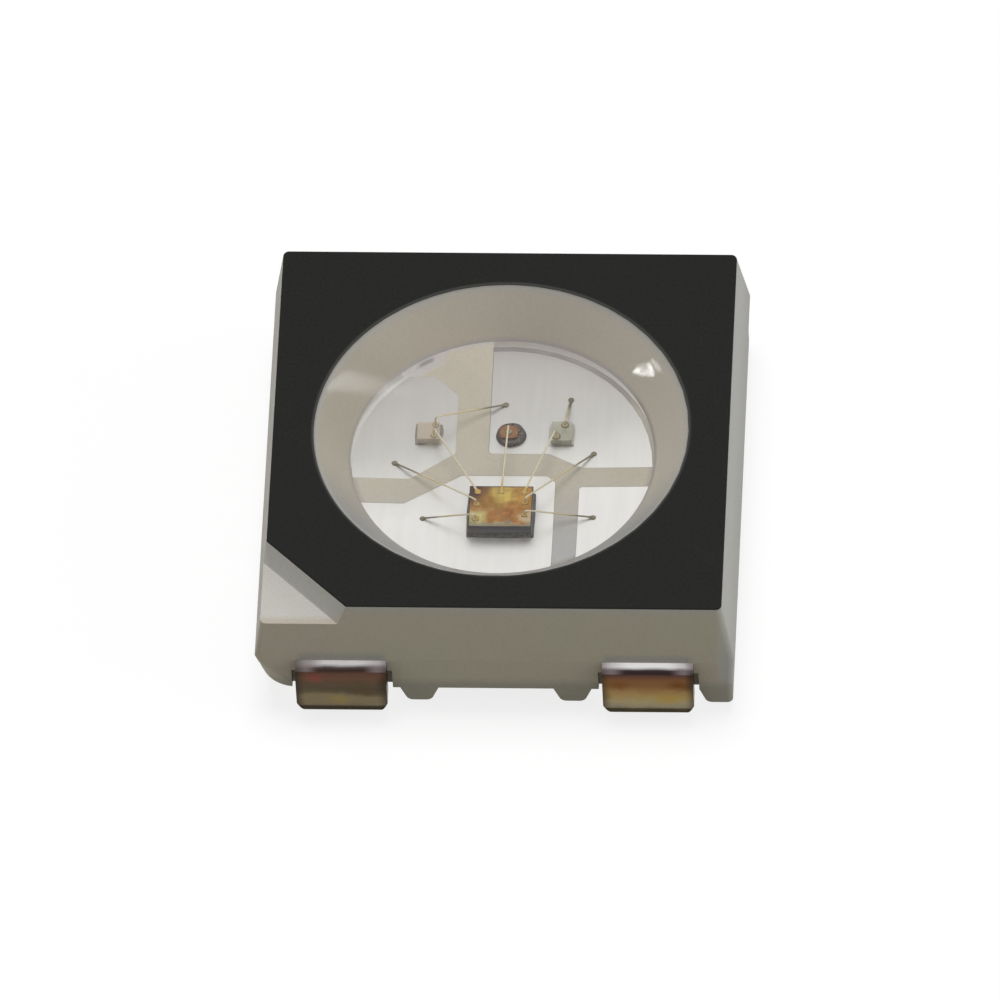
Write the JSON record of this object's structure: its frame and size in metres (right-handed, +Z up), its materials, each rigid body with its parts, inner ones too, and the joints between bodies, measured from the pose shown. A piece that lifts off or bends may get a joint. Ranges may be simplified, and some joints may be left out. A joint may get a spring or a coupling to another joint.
{
  "type": "smd led",
  "caption": "Square surface-mount colour LED with a clear-filled round cup, black printed top, cut corner mark and silver leads folded under the body.",
  "frame": {"origin": "on the board plane, under the middle of the package", "axes": "+Z up from the board; the side with the cut corner and the GND and DIN leads faces -Y; +X runs from the GND lead to the DIN lead"},
  "size_m": [0.005, 0.0052, 0.0016],
  "materials": {
    "white_resin": "matt moulded, slightly warm white",
    "black_print": "matt black print",
    "clear_fill": "clear silicone, glossy and slightly hollow on top",
    "silver_plate": "silver plating, satin on the islands, brighter at the bends",
    "driver_silicon": "polished silicon with gold and brown interference colours",
    "clear_die": "clear crystal with gold pads",
    "red_die": "orange-brown crystal",
    "silver_adhesive": "dark grey silver-filled adhesive",
    "clear_adhesive": "clear adhesive",
    "gold": "drawn gold wire"
  },
  "bodies": {
    "root": {"housing": "white_resin", "top_mask": "black_print", "encapsulant": "clear_fill", "lead_dout": "silver_plate", "lead_vdd": "silver_plate", "lead_gnd": "silver_plate", "lead_din": "silver_plate", "driver_ic": "driver_silicon", "blue_die": "clear_die", "green_die": "clear_die", "red_die": "red_die", "attach_driver": "silver_adhesive", "attach_red": "silver_adhesive", "attach_blue": "clear_adhesive", "attach_green": "clear_adhesive", "wire_blue_vdd": "gold", "wire_blue_driver": "gold", "wire_red_driver": "gold", "wire_green_vdd": "gold", "wire_green_driver": "gold", "wire_vdd": "gold", "wire_dout": "gold", "wire_gnd": "gold", "wire_din": "gold"}
  },
  "joints": []
}
